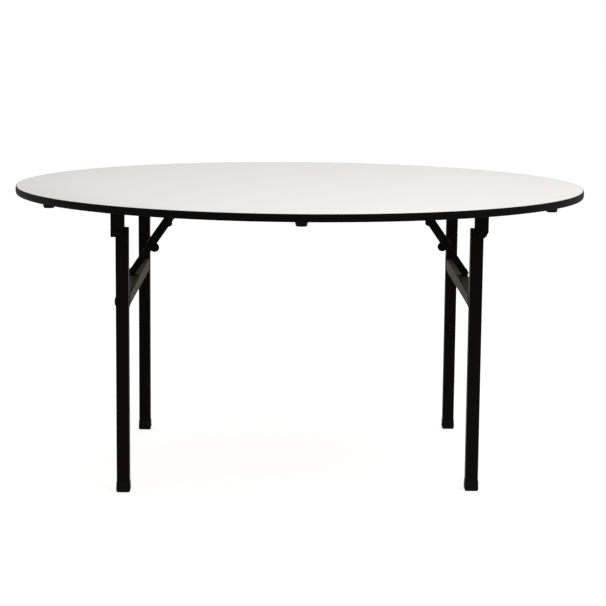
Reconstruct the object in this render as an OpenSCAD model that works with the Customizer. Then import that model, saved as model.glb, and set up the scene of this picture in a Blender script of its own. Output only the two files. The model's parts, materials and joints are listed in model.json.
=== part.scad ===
// Round folding banquet table. Millimetres, +Z up, origin on the floor under the middle of the top.
// The left leg set is drawn; the right one is the same set turned half a turn about Z.

/* [Tabletop] */
// Diameter of the round top over its edge band
table_d = 1500; // [1400:10:1800]
// Height of the laminate above the floor
table_h = 745; // [700:5:780]
// Thickness of the whole top
top_t = 19; // [16:0.5:24]
// Thickness of the white laminate
laminate_t = 1; // [0.6:0.1:1.5]
// Thickness of the backing sheet under the core
backing_t = 0.8; // [0.5:0.1:1.5]
// How far the edge band stands out from the core
edge_w = 3; // [3:0.1:5]
// Radius of the edge band's outer corners
edge_round = 2.4; // [1:0.1:2.5]
// Depth of the edge band's barb in the core
barb_len = 12; // [8:0.5:16]
// Thickness of the edge band's barb
barb_t = 2.2; // [1.5:0.1:3]

/* [Legs] */
// Outer width of the square leg tube
leg_w = 32; // [28:0.5:34]
// Wall of the leg tube
leg_wall = 1.5; // [1.2:0.1:2.5]
// Outer corner radius of the leg tube
leg_round = 3; // [2:0.1:4]
// How far the leg centres are set in from the rim, left and right
leg_inset_x = 309.5; // [290:0.5:330]
// How far the leg centres are set in from the rim, front and rear
leg_inset_y = 387; // [350:1:430]
// Gap between the two leg frames when both are folded
fold_gap = 6; // [4.5:0.5:12]
// Distance from the underside of the top down to the leg tubes
leg_top_gap = 57; // [48:0.5:64]
// Distance from the underside of the top down to the crossbar's middle
crossbar_drop = 242; // [227:1:272]
// Size of the square crossbar tube, upright
crossbar_w = 32; // [28:0.5:34]

/* [Foot caps] */
// Height of the foot cap
foot_h = 27; // [20:1:40]
// Wall of the foot cap round the tube
foot_wall = 2; // [1.5:0.1:2]
// Thickness of the foot cap under the tube
foot_sole = 4; // [3:0.5:8]
// Rounding of the foot cap's bottom edges
foot_round = 3; // [1:0.5:4]

/* [Leg brackets] */
// Sheet thickness of the leg brackets
bracket_t = 3; // [2.5:0.1:3.5]
// Width of the bracket ears along X
ear_w = 32; // [30:0.5:36]
// How far the ears' middle lies outboard of the leg
ear_out = 11.5; // [10:0.5:12.5]
// Length of the ears down from the underside
ear_h = 79; // [76:0.5:86]
// Length of the base plate along X
bracket_base_l = 84; // [76:1:100]
// Pivot bolt's distance outboard of the leg's middle
pivot_out = 7.5; // [5:0.5:8]
// Pivot bolt's distance below the leg tube's top
pivot_drop = 12; // [11:0.5:16]
// Diameter of the pivot bolts
pivot_d = 8; // [6:0.5:10]
// Cut corner of one ear, along X
ear_cut_x = 10; // [5:0.5:12]
// Cut corner of one ear, along Z
ear_cut_z = 15; // [8:0.5:18]

/* [Folding brace] */
// Lean of the brace from upright, degrees
brace_lean = 34.8; // [32:0.1:36]
// Brace foot pin's distance outboard of the leg's middle
foot_pin_out = 5.5; // [3:0.5:6]
// Height of the brace foot pin above the crossbar
foot_pin_rise = 12; // [12:0.5:16]
// Depth of the brace top pin below the underside
top_pin_drop = 16; // [15:0.5:20]
// Outer width of the upper arm's channel
upper_w = 26; // [25:0.5:30]
// Depth of the upper arm's channel
upper_depth = 23.8; // [22:0.2:24]
// How far the upper arm's tail reaches past the knuckle, to its end's centre
tail_len = 36; // [35:0.5:44]
// Sheet thickness of the brace arms
arm_t = 2; // [1.5:0.1:2.5]
// Depth of the lower arm from its pins to the closed side
lower_back = 7.7; // [7:0.1:8]
// Depth of the lower arm from its pins to the open side
lower_front = 11; // [9:0.1:11]
// Diameter of the pins in the brace
brace_pin_d = 8; // [6:0.5:9]
// Length of the opening in the upper arm's web, towards the top pin from the knuckle
web_gap_up = 44; // [42:1:60]
// Length of the opening in the upper arm's web, past the knuckle
web_gap_down = 14; // [14:1:20]

/* [Latch] */
// Thickness of the spring latch
latch_t = 1.5; // [1:0.1:2]
// Distance of the latch's root centre above the knuckle
latch_up = 42; // [40:1:50]
// Distance of the finger pad's centre below the knuckle
latch_down = 33; // [30:1:36]
// Radius of the latch's root end
latch_root_r = 9; // [7:0.5:10]
// Radius of the latch's finger pad
latch_pad_r = 12.5; // [9:0.5:13]
// Diameter of the lock pin
lock_pin_d = 6; // [5:0.5:7]

/* [Bumpers] */
// Number of stacking bumpers under the rim
bumper_count = 6; // [4:1:8]
// How far the bumpers' centres are set in from the rim
bumper_inset = 30; // [25:1:60]
// Diameter of a bumper at the underside
bumper_d = 31; // [24:1:36]
// Diameter of a bumper at its free end
bumper_end_d = 27; // [20:1:30]
// Height of a bumper
bumper_h = 12; // [8:1:16]
// Diameter of the leg button
button_d = 22; // [14:1:24]
// Height of the leg button
button_h = 4; // [2:0.5:6]

/* [Hidden] */

$fn = 64;
half_turn = 180;
quarter_turn = 90;
full_turn = 360;
// Overrun of every cut past the face that it opens
over = 1;
// Radial clearance of a pin that turns, and of a screw in its hole
pin_clear = 0.05;
// Side clearance between sheet parts that turn past each other
side_clear = 0.3;
// Side clearance of a leg tube between its bracket's ears
ear_clear = 0.5;
// Side clearance of the lower arm inside the upper arm
arm_clear = 0.5;
// Clearance of the foot cap on the tube
cap_clear = 0.05;
// Clearance of the barb in its slot
barb_clear = 0.1;
// The slot is this much deeper than the barb
slot_extra = 1;
// Gap between the edge band and the board that it goes round
edge_seat = 0.4;

underside_z = table_h - top_t;
core_r = table_d / 2 - edge_w;
core_t = top_t - laminate_t - backing_t;
barb_z = underside_z + top_t / 2;

leg_x = table_d / 2 - leg_inset_x;
leg_y = table_d / 2 - leg_inset_y;
// Each frame is set off from the middle, so that the two lie side by side when folded
frame_shift = (leg_w + fold_gap) / 2;
front_y = -leg_y - frame_shift;
rear_y = leg_y - frame_shift;
brace_y = -frame_shift;
leg_top_z = underside_z - leg_top_gap;
crossbar_z = underside_z - crossbar_drop;
crossbar_top_z = crossbar_z + crossbar_w / 2;

pivot_x = -leg_x - pivot_out;
pivot_z = leg_top_z - pivot_drop;
ear_x = -leg_x - ear_out;
ear_gap = leg_w + 2 * ear_clear;
bracket_w = ear_gap + 2 * bracket_t;
ear_round = 2;
bracket_bend = 3;
bracket_base_round = 6;

foot_pin_x = -leg_x - foot_pin_out;
foot_pin_z = crossbar_top_z + foot_pin_rise;
top_pin_z = underside_z - top_pin_drop;
top_pin_x = foot_pin_x + (top_pin_z - foot_pin_z) * tan(brace_lean);
brace_len = (top_pin_z - foot_pin_z) / cos(brace_lean);
// The knuckle is midway between the two end pins
arm_len = brace_len / 2;
upper_r = upper_depth / 2;
upper_inner_w = upper_w - 2 * arm_t;
lower_w = upper_inner_w - 2 * arm_clear;
lower_inner_w = lower_w - 2 * arm_t;
arm_bend = 3;
// Both arms' webs stop short of the end pins, to clear the bracket and the lug
web_setback = 16;
window_round = 5;
stop_l = 3;
stop_w = 14;
stop_clear = 0.3;

lug_t = 2.5;
lug_w = lower_inner_w - 2 * side_clear;
lug_r = 8.5;
lug_base_l = 24;
top_ear_t = 3;
top_ear_w = upper_inner_w - 2 * side_clear;
top_ear_r = 9.5;
top_base_t = 3;
top_base_l = 76;
top_base_w = 44;
top_base_round = 8;

pin_head_d = 14;
pin_head_h = 2.5;
pin_head_gap = 0.2;
knuckle_d = 7;
knuckle_head_d = 12;
knuckle_head_h = 2.5;

latch_gap = 0.3;
latch_root_off = 7.5;
latch_pad_off = 13;
latch_strip_lo = 1;
latch_knuckle_gap = 1;
latch_rivet_d = 5;
latch_rivet_head_d = 8;
latch_rivet_head_h = 1.8;
latch_lift_gap = 0.7;
lock_pin_off = 4;
lock_pin_down = 33;
lock_pin_head_d = 10;
lock_pin_head_h = 1.5;
lock_hole_clear = 0.3;

screw_d = 4.5;
screw_l = 14;
screw_head_d = 9;
screw_head_h = 2.6;
bracket_screw_x = 32;
bracket_screw_y = 10;
top_screw_x = 28;
top_screw_y = 13;
bumper_cup_d = 14;
bumper_floor = 4;
bumper_round = 2;
button_stub_d = 6;
button_edge = 1.5;

bolt_head_af = 13;
bolt_head_h = 5.3;
nut_h = 6.5;
bolt_end = 9;

leg_black = [0.07, 0.07, 0.07];
edge_black = [0.06, 0.06, 0.065];
plastic_black = [0.05, 0.05, 0.05];
laminate_white = [0.9, 0.89, 0.88];
ply_brown = [0.72, 0.56, 0.38];
zinc_grey = [0.62, 0.63, 0.65];

// Flat shapes

module rounded_rect(w, h, r) {
    square([w - 2 * r, h], center = true);
    square([w, h - 2 * r], center = true);
    for (x = [-1, 1], y = [-1, 1])
        translate([x * (w / 2 - r), y * (h / 2 - r)]) circle(r = r);
}

module tube_section(w, h) {
    difference() {
        rounded_rect(w, h, leg_round);
        rounded_rect(w - 2 * leg_wall, h - 2 * leg_wall, leg_round - leg_wall / 2);
    }
}

// A channel open towards +Y of the sketch, its back from -back, its lips at +front
module channel_section(w, back, front, t, bend) {
    depth = back + front;
    difference() {
        translate([0, (front - back) / 2]) {
            square([w - 2 * bend, depth], center = true);
            translate([0, bend / 2]) square([w, depth - bend], center = true);
            for (x = [-1, 1])
                translate([x * (w / 2 - bend), bend - depth / 2]) circle(r = bend);
        }
        translate([0, front + over - (depth - t + over) / 2])
            square([w - 2 * t, depth - t + over], center = true);
    }
}

// Placing

module right_side() rotate([0, 0, half_turn]) children();

// Local X runs down the brace from the top pin, local Z points to its open side
module along_brace()
    translate([top_pin_x, brace_y, top_pin_z])
        rotate([0, quarter_turn + brace_lean, 0]) children();

module across(d, l) rotate([quarter_turn, 0, 0]) cylinder(d = d, h = l, center = true);

// Sketch X to local X, sketch Y to local Z, extruded across the table
module side_plate(t) rotate([quarter_turn, 0, 0]) linear_extrude(t, center = true) children();

// Sketch X across the table, sketch Y to local Z, extruded along local X
module along_x(l) rotate([quarter_turn, 0, quarter_turn]) linear_extrude(l) children();

// Where the screws go

module at_leg_bracket_screws()
    for (turn = [0, half_turn]) rotate([0, 0, turn])
        for (y = [front_y, rear_y], dx = [-1, 1], dy = [-1, 1])
            translate([ear_x + dx * bracket_screw_x, y + dy * bracket_screw_y, underside_z])
                children();

module at_brace_bracket_screws()
    for (turn = [0, half_turn]) rotate([0, 0, turn])
        for (dx = [-1, 1], dy = [-1, 1])
            translate([top_pin_x + dx * top_screw_x, brace_y + dy * top_screw_y, underside_z])
                children();

module at_bumpers()
    for (i = [0 : bumper_count - 1])
        rotate([0, 0, (i + 1 / 2) * full_turn / bumper_count])
            translate([table_d / 2 - bumper_inset, 0, underside_z]) children();

// A wood screw whose head bears on a plate of the given thickness
module screw(plate_t) {
    translate([0, 0, -plate_t]) cylinder(d = screw_d, h = screw_l);
    translate([0, 0, -plate_t - screw_head_h]) cylinder(d = screw_head_d, h = screw_head_h);
}

module screw_hole(plate_t)
    translate([0, 0, -plate_t - over])
        cylinder(d = screw_d + 2 * pin_clear, h = screw_l + over + pin_clear);

// Tabletop

module tabletop_core() color(ply_brown)
    difference() {
        translate([0, 0, underside_z + backing_t]) cylinder(r = core_r, h = core_t);
        translate([0, 0, barb_z]) rotate_extrude()
            translate([core_r - barb_len - slot_extra, -barb_t / 2 - barb_clear])
                square([barb_len + slot_extra + over, barb_t + 2 * barb_clear]);
        at_leg_bracket_screws() screw_hole(bracket_t);
        at_brace_bracket_screws() screw_hole(top_base_t);
        at_bumpers() screw_hole(bumper_floor);
    }

module laminate_top() color(laminate_white)
    translate([0, 0, table_h - laminate_t]) cylinder(r = core_r, h = laminate_t);

module backing_sheet() color(ply_brown)
    difference() {
        translate([0, 0, underside_z]) cylinder(r = core_r, h = backing_t);
        at_leg_bracket_screws() screw_hole(bracket_t);
        at_brace_bracket_screws() screw_hole(top_base_t);
        at_bumpers() screw_hole(bumper_floor);
    }

module edge_band() color(edge_black)
    translate([0, 0, underside_z]) rotate_extrude() {
        translate([core_r + edge_seat, 0]) square([edge_w - edge_seat - edge_round, top_t]);
        translate([core_r + edge_seat, edge_round])
            square([edge_w - edge_seat, top_t - 2 * edge_round]);
        intersection() {
            translate([core_r + edge_seat, 0]) square([edge_w, top_t]);
            for (z = [edge_round, top_t - edge_round])
                translate([core_r + edge_w - edge_round, z]) circle(r = edge_round);
        }
        translate([core_r - barb_len, (top_t - barb_t) / 2]) square([barb_len + edge_w / 2, barb_t]);
    }

module stacking_bumpers() color(plastic_black)
    at_bumpers() mirror([0, 0, 1]) difference() {
        rotate_extrude() {
            polygon([[0, 0], [bumper_d / 2, 0], [bumper_end_d / 2, bumper_h - bumper_round],
                [bumper_end_d / 2 - bumper_round, bumper_h], [0, bumper_h]]);
            intersection() {
                translate([bumper_end_d / 2 - bumper_round, bumper_h - bumper_round])
                    circle(r = bumper_round);
                square([bumper_d, bumper_h]);
            }
        }
        translate([0, 0, bumper_floor]) cylinder(d = bumper_cup_d, h = bumper_h);
        translate([0, 0, -over]) cylinder(d = screw_d + 2 * pin_clear, h = bumper_h);
    }

module bumper_screws() color(zinc_grey) at_bumpers() screw(bumper_floor);

// Leg brackets

module ear_outline(cut) {
    low = underside_z - ear_h;
    difference() {
        translate([ear_x, low + ear_h / 2]) union() {
            square([ear_w - 2 * ear_round, ear_h], center = true);
            translate([0, ear_round / 2]) square([ear_w, ear_h - ear_round], center = true);
            for (x = [-1, 1])
                translate([x * (ear_w / 2 - ear_round), ear_round - ear_h / 2]) circle(r = ear_round);
        }
        if (cut)
            translate([ear_x - ear_w / 2, low])
                polygon([[-over, -over], [ear_cut_x, -over], [ear_cut_x, 0],
                    [0, ear_cut_z], [-over, ear_cut_z]]);
    }
}

module leg_bracket(y) color(leg_black)
    difference() {
        union() {
            translate([ear_x, y, underside_z - bracket_t]) linear_extrude(bracket_t)
                rounded_rect(bracket_base_l, bracket_w, bracket_base_round);
            for (side = [-1, 1])
                translate([0, y + side * (ear_gap + bracket_t) / 2, 0])
                    side_plate(bracket_t) ear_outline(side > 0);
            for (side = [-1, 1])
                translate([ear_x - ear_w / 2, y, underside_z - bracket_t]) along_x(ear_w)
                    translate([side * ear_gap / 2, 0]) difference() {
                        translate([-side * bracket_bend / 2, -bracket_bend / 2])
                            square([bracket_bend, bracket_bend], center = true);
                        translate([-side * bracket_bend, -bracket_bend]) circle(r = bracket_bend);
                    }
        }
        translate([pivot_x, y, pivot_z]) across(pivot_d + 2 * pin_clear, bracket_w + 2 * over);
        at_leg_bracket_screws() screw_hole(bracket_t);
    }

module leg_bracket_screws() color(zinc_grey) at_leg_bracket_screws() screw(bracket_t);

// The bolt's head is on the outer side of its frame
module pivot_bolt(y, side)
    translate([pivot_x, y, pivot_z]) mirror([0, side > 0 ? 1 : 0, 0]) {
        translate([0, bolt_end / 2, 0]) across(pivot_d, bracket_w + bolt_end);
        translate([0, -(bracket_w + bolt_head_h) / 2, 0]) rotate([quarter_turn, 0, 0])
            cylinder(d = bolt_head_af / cos(half_turn / 6), h = bolt_head_h, center = true, $fn = 6);
    }

module pivot_nut(y, side)
    translate([pivot_x, y, pivot_z]) mirror([0, side > 0 ? 1 : 0, 0])
        translate([0, (bracket_w + nut_h) / 2, 0]) rotate([quarter_turn, 0, 0]) difference() {
            cylinder(d = bolt_head_af / cos(half_turn / 6), h = nut_h, center = true, $fn = 6);
            cylinder(d = pivot_d + 2 * pin_clear, h = nut_h + 2 * over, center = true);
        }

module leg_pivot_bolts() color(leg_black)
    for (turn = [0, half_turn]) rotate([0, 0, turn]) {
        pivot_bolt(front_y, -1);
        pivot_bolt(rear_y, 1);
    }

module leg_pivot_nuts() color(leg_black)
    for (turn = [0, half_turn]) rotate([0, 0, turn]) {
        pivot_nut(front_y, -1);
        pivot_nut(rear_y, 1);
    }

// Leg frames

module leg(y) color(leg_black)
    difference() {
        translate([-leg_x, y, foot_sole]) linear_extrude(leg_top_z - foot_sole)
            tube_section(leg_w, leg_w);
        translate([pivot_x, y, pivot_z]) across(pivot_d + 2 * pin_clear, leg_w + 2 * over);
        if (y < 0)
            translate([-leg_x - leg_w / 2, y, crossbar_z]) rotate([0, quarter_turn, 0])
                cylinder(d = button_stub_d + 2 * pin_clear, h = leg_w, center = true);
    }

module crossbar() color(leg_black)
    translate([-leg_x, (front_y + rear_y) / 2, crossbar_z]) rotate([quarter_turn, 0, 0])
        linear_extrude(rear_y - front_y - leg_w, center = true) tube_section(leg_w, crossbar_w);

// A view of the cap from one side, its bottom corners round
module foot_outline() {
    w = leg_w + 2 * foot_wall;
    translate([0, (foot_h + foot_round) / 2]) square([w, foot_h - foot_round], center = true);
    translate([0, foot_h / 2]) square([w - 2 * foot_round, foot_h], center = true);
    for (x = [-1, 1]) translate([x * (w / 2 - foot_round), foot_round]) circle(r = foot_round);
}

module foot_cap(y) color(plastic_black)
    translate([-leg_x, y, 0]) difference() {
        w = leg_w + 2 * foot_wall;
        intersection() {
            side_plate(w) foot_outline();
            rotate([0, 0, quarter_turn]) side_plate(w) foot_outline();
            linear_extrude(foot_h) rounded_rect(w, w, leg_round + foot_wall);
        }
        translate([0, 0, foot_sole]) linear_extrude(foot_h)
            rounded_rect(leg_w + 2 * cap_clear, leg_w + 2 * cap_clear, leg_round + cap_clear);
    }

module leg_button() color(plastic_black)
    translate([-leg_x - leg_w / 2, front_y, crossbar_z]) rotate([0, -quarter_turn, 0]) {
        rotate_extrude() polygon([[0, 0], [button_d / 2, 0],
            [button_d / 2, button_h - button_edge], [button_d / 2 - button_edge, button_h], [0, button_h]]);
        translate([0, 0, -leg_wall]) cylinder(d = button_stub_d, h = leg_wall + button_h / 2);
    }

// Ear of a U-shaped carrier, round at its pin, reaching from the pin to its base
module carrier_ears(w, t, r, reach)
    for (side = [-1, 1])
        translate([0, side * (w - t) / 2, 0]) side_plate(t) {
            circle(r = r);
            translate([-r, 0]) square([2 * r, reach]);
        }

module brace_lug() color(leg_black)
    translate([foot_pin_x, brace_y, foot_pin_z]) difference() {
        union() {
            mirror([0, 0, 1]) carrier_ears(lug_w, lug_t, lug_r, foot_pin_rise);
            translate([foot_pin_out, 0, lug_t / 2 - foot_pin_rise])
                cube([lug_base_l, lug_w, lug_t], center = true);
        }
        across(brace_pin_d + 2 * pin_clear, lug_w + 2 * over);
    }

// A pin headed on both sides of an arm of width w
module headed_pin(w) {
    across(brace_pin_d, w + 2 * pin_head_gap);
    for (side = [-1, 1])
        translate([0, side * (w / 2 + pin_head_gap + pin_head_h / 2), 0]) across(pin_head_d, pin_head_h);
}

module lug_pin() color(leg_black)
    translate([foot_pin_x, brace_y, foot_pin_z]) headed_pin(lower_w);

// Folding brace

module brace_bracket() color(leg_black)
    difference() {
        union() {
            translate([top_pin_x, brace_y, underside_z - top_base_t]) linear_extrude(top_base_t)
                rounded_rect(top_base_l, top_base_w, top_base_round);
            translate([top_pin_x, brace_y, top_pin_z])
                carrier_ears(top_ear_w, top_ear_t, top_ear_r, top_pin_drop - top_base_t / 2);
        }
        translate([top_pin_x, brace_y, top_pin_z])
            across(brace_pin_d + 2 * pin_clear, top_ear_w + 2 * over);
        at_brace_bracket_screws() screw_hole(top_base_t);
    }

module brace_bracket_screws() color(zinc_grey) at_brace_bracket_screws() screw(top_base_t);

module brace_top_pins() color(leg_black)
    for (turn = [0, half_turn]) rotate([0, 0, turn])
        translate([top_pin_x, brace_y, top_pin_z]) headed_pin(upper_w);

module upper_arm() color(leg_black)
    along_brace() {
        difference() {
            intersection() {
                translate([-upper_r, 0, 0]) along_x(arm_len + tail_len + 2 * upper_r)
                    channel_section(upper_w, upper_r, upper_r, arm_t, arm_bend);
                side_plate(upper_w) {
                    translate([0, -upper_r]) square([arm_len + tail_len, upper_depth]);
                    for (s = [0, arm_len + tail_len]) translate([s, 0]) circle(r = upper_r);
                }
            }
            // The web stops short of the top pin
            translate([(web_setback - upper_r - over) / 2, 0, -upper_r])
                cube([web_setback + upper_r + over, upper_inner_w, 2 * arm_t + over], center = true);
            // Opening in the web that the lower arm's end swings out through
            translate([arm_len + (web_gap_down - web_gap_up) / 2, 0, -upper_r])
                linear_extrude(2 * arm_t + over, center = true)
                    rounded_rect(web_gap_up + web_gap_down, upper_inner_w, window_round);
            across(brace_pin_d + 2 * pin_clear, upper_w + 2 * over);
            translate([arm_len, 0, 0]) across(knuckle_d + 2 * pin_clear, upper_w + 2 * over);
            translate([arm_len - latch_up, -upper_w / 2, latch_root_off])
                across(latch_rivet_d + 2 * pin_clear, 2 * arm_t + over);
            translate([arm_len + lock_pin_down, -upper_w / 2, lock_pin_off])
                across(lock_pin_d + 2 * lock_hole_clear, 2 * arm_t + over);
        }
        // Stop that the straight lower arm comes to rest against
        stop_h = upper_r - arm_t / 2 - lower_back - stop_clear;
        translate([arm_len + tail_len, 0, stop_h / 2 + arm_t / 2 - upper_r])
            cube([stop_l, stop_w, stop_h], center = true);
    }

module knuckle_rivets() color(leg_black)
    along_brace() {
        for (side = [-1, 1]) translate([arm_len, side * upper_w / 2, 0]) {
            translate([0, -side * arm_t / 2, 0]) across(knuckle_d, arm_t);
            translate([0, side * knuckle_head_h / 2, 0]) across(knuckle_head_d, knuckle_head_h);
        }
        translate([arm_len - latch_up, -upper_w / 2, latch_root_off]) {
            shank = arm_t + latch_gap + latch_t + latch_lift_gap;
            translate([0, arm_t - shank / 2, 0]) across(latch_rivet_d, shank);
            translate([0, arm_t - shank - latch_rivet_head_h / 2, 0])
                across(latch_rivet_head_d, latch_rivet_head_h);
        }
    }

module lower_arm() color(leg_black)
    along_brace() translate([arm_len, 0, 0]) difference() {
        intersection() {
            translate([-lower_front, 0, 0]) along_x(arm_len + 2 * lower_front)
                channel_section(lower_w, lower_back, lower_front, arm_t, arm_bend);
            side_plate(lower_w) {
                translate([0, -lower_front]) square([arm_len, 2 * lower_front]);
                for (s = [0, arm_len]) translate([s, 0]) circle(r = lower_front);
            }
        }
        // The web stops short of the foot pin
        translate([arm_len + (lower_front + over - web_setback) / 2, 0, -lower_back])
            cube([web_setback + lower_front + over, lower_inner_w, 2 * arm_t + over], center = true);
        across(knuckle_d + 2 * pin_clear, lower_w + 2 * over);
        translate([arm_len, 0, 0]) across(brace_pin_d + 2 * pin_clear, lower_w + 2 * over);
        translate([lock_pin_down, -lower_w / 2, lock_pin_off])
            across(lock_pin_d + 2 * lock_hole_clear, 2 * arm_t + over);
    }

// Spring latch on the front cheek of the upper arm

module latch_outline() difference() {
    union() {
        translate([arm_len - latch_up, latch_root_off]) circle(r = latch_root_r);
        translate([arm_len + latch_down, latch_pad_off]) circle(r = latch_pad_r);
        translate([arm_len - latch_up, latch_strip_lo])
            square([latch_up + latch_down, upper_r - latch_strip_lo]);
    }
    translate([arm_len, 0]) circle(d = knuckle_head_d + 2 * latch_knuckle_gap);
    translate([arm_len - latch_up, latch_root_off]) circle(d = latch_rivet_d + 2 * lock_hole_clear);
    translate([arm_len + lock_pin_down, lock_pin_off]) circle(d = lock_pin_d + 2 * pin_clear);
}

module latch_leaf() color(leg_black)
    along_brace() translate([0, -upper_w / 2 - latch_gap - latch_t / 2, 0])
        side_plate(latch_t) latch_outline();

module lock_pin() color(leg_black)
    along_brace() translate([arm_len + lock_pin_down, -upper_w / 2, lock_pin_off]) {
        shank = arm_t + latch_gap + latch_t;
        translate([0, arm_t - shank / 2, 0]) across(lock_pin_d, shank);
        translate([0, arm_t - shank - lock_pin_head_h / 2, 0]) across(lock_pin_head_d, lock_pin_head_h);
    }

// Nodes

module left_front_leg_bracket() leg_bracket(front_y);
module left_rear_leg_bracket() leg_bracket(rear_y);
module right_front_leg_bracket() right_side() leg_bracket(rear_y);
module right_rear_leg_bracket() right_side() leg_bracket(front_y);
module left_brace_bracket() brace_bracket();
module right_brace_bracket() right_side() brace_bracket();
module left_front_leg() leg(front_y);
module left_rear_leg() leg(rear_y);
module left_crossbar() crossbar();
module left_front_foot_cap() foot_cap(front_y);
module left_rear_foot_cap() foot_cap(rear_y);
module left_brace_lug() brace_lug();
module left_lug_pin() lug_pin();
module left_leg_button() leg_button();
module right_front_leg() right_side() leg(rear_y);
module right_rear_leg() right_side() leg(front_y);
module right_crossbar() right_side() crossbar();
module right_front_foot_cap() right_side() foot_cap(rear_y);
module right_rear_foot_cap() right_side() foot_cap(front_y);
module right_brace_lug() right_side() brace_lug();
module right_lug_pin() right_side() lug_pin();
module right_leg_button() right_side() leg_button();
module left_upper_arm() upper_arm();
module left_knuckle_rivets() knuckle_rivets();
module left_lower_arm() lower_arm();
module left_latch_leaf() latch_leaf();
module left_lock_pin() lock_pin();
module right_upper_arm() right_side() upper_arm();
module right_knuckle_rivets() right_side() knuckle_rivets();
module right_lower_arm() right_side() lower_arm();
module right_latch_leaf() right_side() latch_leaf();
module right_lock_pin() right_side() lock_pin();

tabletop_core();
laminate_top();
backing_sheet();
edge_band();
stacking_bumpers();
bumper_screws();
left_front_leg_bracket();
left_rear_leg_bracket();
right_front_leg_bracket();
right_rear_leg_bracket();
leg_bracket_screws();
leg_pivot_bolts();
leg_pivot_nuts();
left_brace_bracket();
right_brace_bracket();
brace_bracket_screws();
brace_top_pins();
left_front_leg();
left_rear_leg();
left_crossbar();
left_front_foot_cap();
left_rear_foot_cap();
left_brace_lug();
left_lug_pin();
left_leg_button();
right_front_leg();
right_rear_leg();
right_crossbar();
right_front_foot_cap();
right_rear_foot_cap();
right_brace_lug();
right_lug_pin();
right_leg_button();
left_upper_arm();
left_knuckle_rivets();
left_lower_arm();
left_latch_leaf();
left_lock_pin();
right_upper_arm();
right_knuckle_rivets();
right_lower_arm();
right_latch_leaf();
right_lock_pin();
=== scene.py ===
# %% [markdown]
# # A round folding banquet table
# The real table is a plywood disc with a white laminate face and a black edge band. Two frames of
# black square tube carry it. Each frame folds flat under the top, and a hinged brace with a spring
# latch holds it upright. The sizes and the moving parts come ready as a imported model, which is
# loaded first and never moved. This script gives every surface its finish, and remakes the small
# round pieces whose form decides how they catch the light.

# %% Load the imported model
import json
import math

import bmesh
import bpy
from mathutils import Matrix, Vector


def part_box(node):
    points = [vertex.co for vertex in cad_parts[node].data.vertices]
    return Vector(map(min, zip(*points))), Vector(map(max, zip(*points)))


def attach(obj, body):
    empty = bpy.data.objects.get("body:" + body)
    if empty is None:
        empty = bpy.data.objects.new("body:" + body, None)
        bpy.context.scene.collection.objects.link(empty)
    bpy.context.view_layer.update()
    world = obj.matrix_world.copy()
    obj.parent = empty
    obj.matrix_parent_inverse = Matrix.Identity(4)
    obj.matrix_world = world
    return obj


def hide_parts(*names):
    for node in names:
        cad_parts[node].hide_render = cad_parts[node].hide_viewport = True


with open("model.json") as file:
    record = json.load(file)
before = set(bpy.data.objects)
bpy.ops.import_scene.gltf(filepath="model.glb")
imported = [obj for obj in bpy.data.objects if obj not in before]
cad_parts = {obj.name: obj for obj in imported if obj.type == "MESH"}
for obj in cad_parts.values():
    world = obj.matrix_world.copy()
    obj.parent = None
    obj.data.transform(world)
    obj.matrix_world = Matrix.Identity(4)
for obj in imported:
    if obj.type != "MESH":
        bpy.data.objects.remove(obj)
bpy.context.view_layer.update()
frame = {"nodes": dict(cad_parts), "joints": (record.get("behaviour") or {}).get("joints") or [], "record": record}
nodes = frame["nodes"]

# %% [markdown]
# ## Lengths and sides
# All lengths here are metres, and a small unit keeps the numbers readable. The right-hand frame is
# the left-hand one turned half a turn about the middle of the table, so a place is worked out once
# on the left and turned for the right.

# %% Units and the half turn
MM = 0.001
HALF_TURN = Matrix.Rotation(math.pi, 4, "Z")
SIDES = {"left": Matrix.Identity(4), "right": HALF_TURN}


def middle(node):
    """The middle of a node's box."""
    low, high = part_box(node)
    return (low + high) / 2


top_low, top_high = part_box("edge_band")
TOP_R = (top_high.x - top_low.x) / 2
UNDERSIDE_Z = top_low.z
TABLE_Z = top_high.z
TOP_T = TABLE_Z - UNDERSIDE_Z
print(f"top: {2 * TOP_R:.3f} m across, {TABLE_Z:.3f} m high, {TOP_T / MM:.1f} mm thick")

# %% [markdown]
# ## Writing shader maths as Python
# A finish is a graph of nodes. Wiring each Math node by hand hides the idea, so a small class wraps
# an output socket and lets Python's own operators add the Math nodes. Everything else, such as a
# noise or a colour ramp, comes from one method that sets a node's options and then its sockets.

# %% A socket that does arithmetic
def named(sockets, identifier):
    """The socket with this identifier."""
    return next(socket for socket in sockets if socket.identifier == identifier)


class Value:
    """An output socket. Arithmetic on it adds Math nodes to its finish."""

    def __init__(self, finish, socket):
        self.finish = finish
        self.socket = socket

    def maths(self, operation, first, second=0.0):
        inputs = {"Value": first, "Value_001": second}
        return self.finish.node("ShaderNodeMath", {"operation": operation}, inputs)

    def __add__(self, other):
        return self.maths("ADD", self, other)

    def __radd__(self, other):
        return self.maths("ADD", other, self)

    def __sub__(self, other):
        return self.maths("SUBTRACT", self, other)

    def __rsub__(self, other):
        return self.maths("SUBTRACT", other, self)

    def __mul__(self, other):
        return self.maths("MULTIPLY", self, other)

    def __rmul__(self, other):
        return self.maths("MULTIPLY", other, self)

    def __truediv__(self, other):
        return self.maths("DIVIDE", self, other)

    def __lt__(self, other):
        return self.maths("LESS_THAN", self, other)

    def __gt__(self, other):
        return self.maths("GREATER_THAN", self, other)

    def __abs__(self):
        return self.maths("ABSOLUTE", self)


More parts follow.
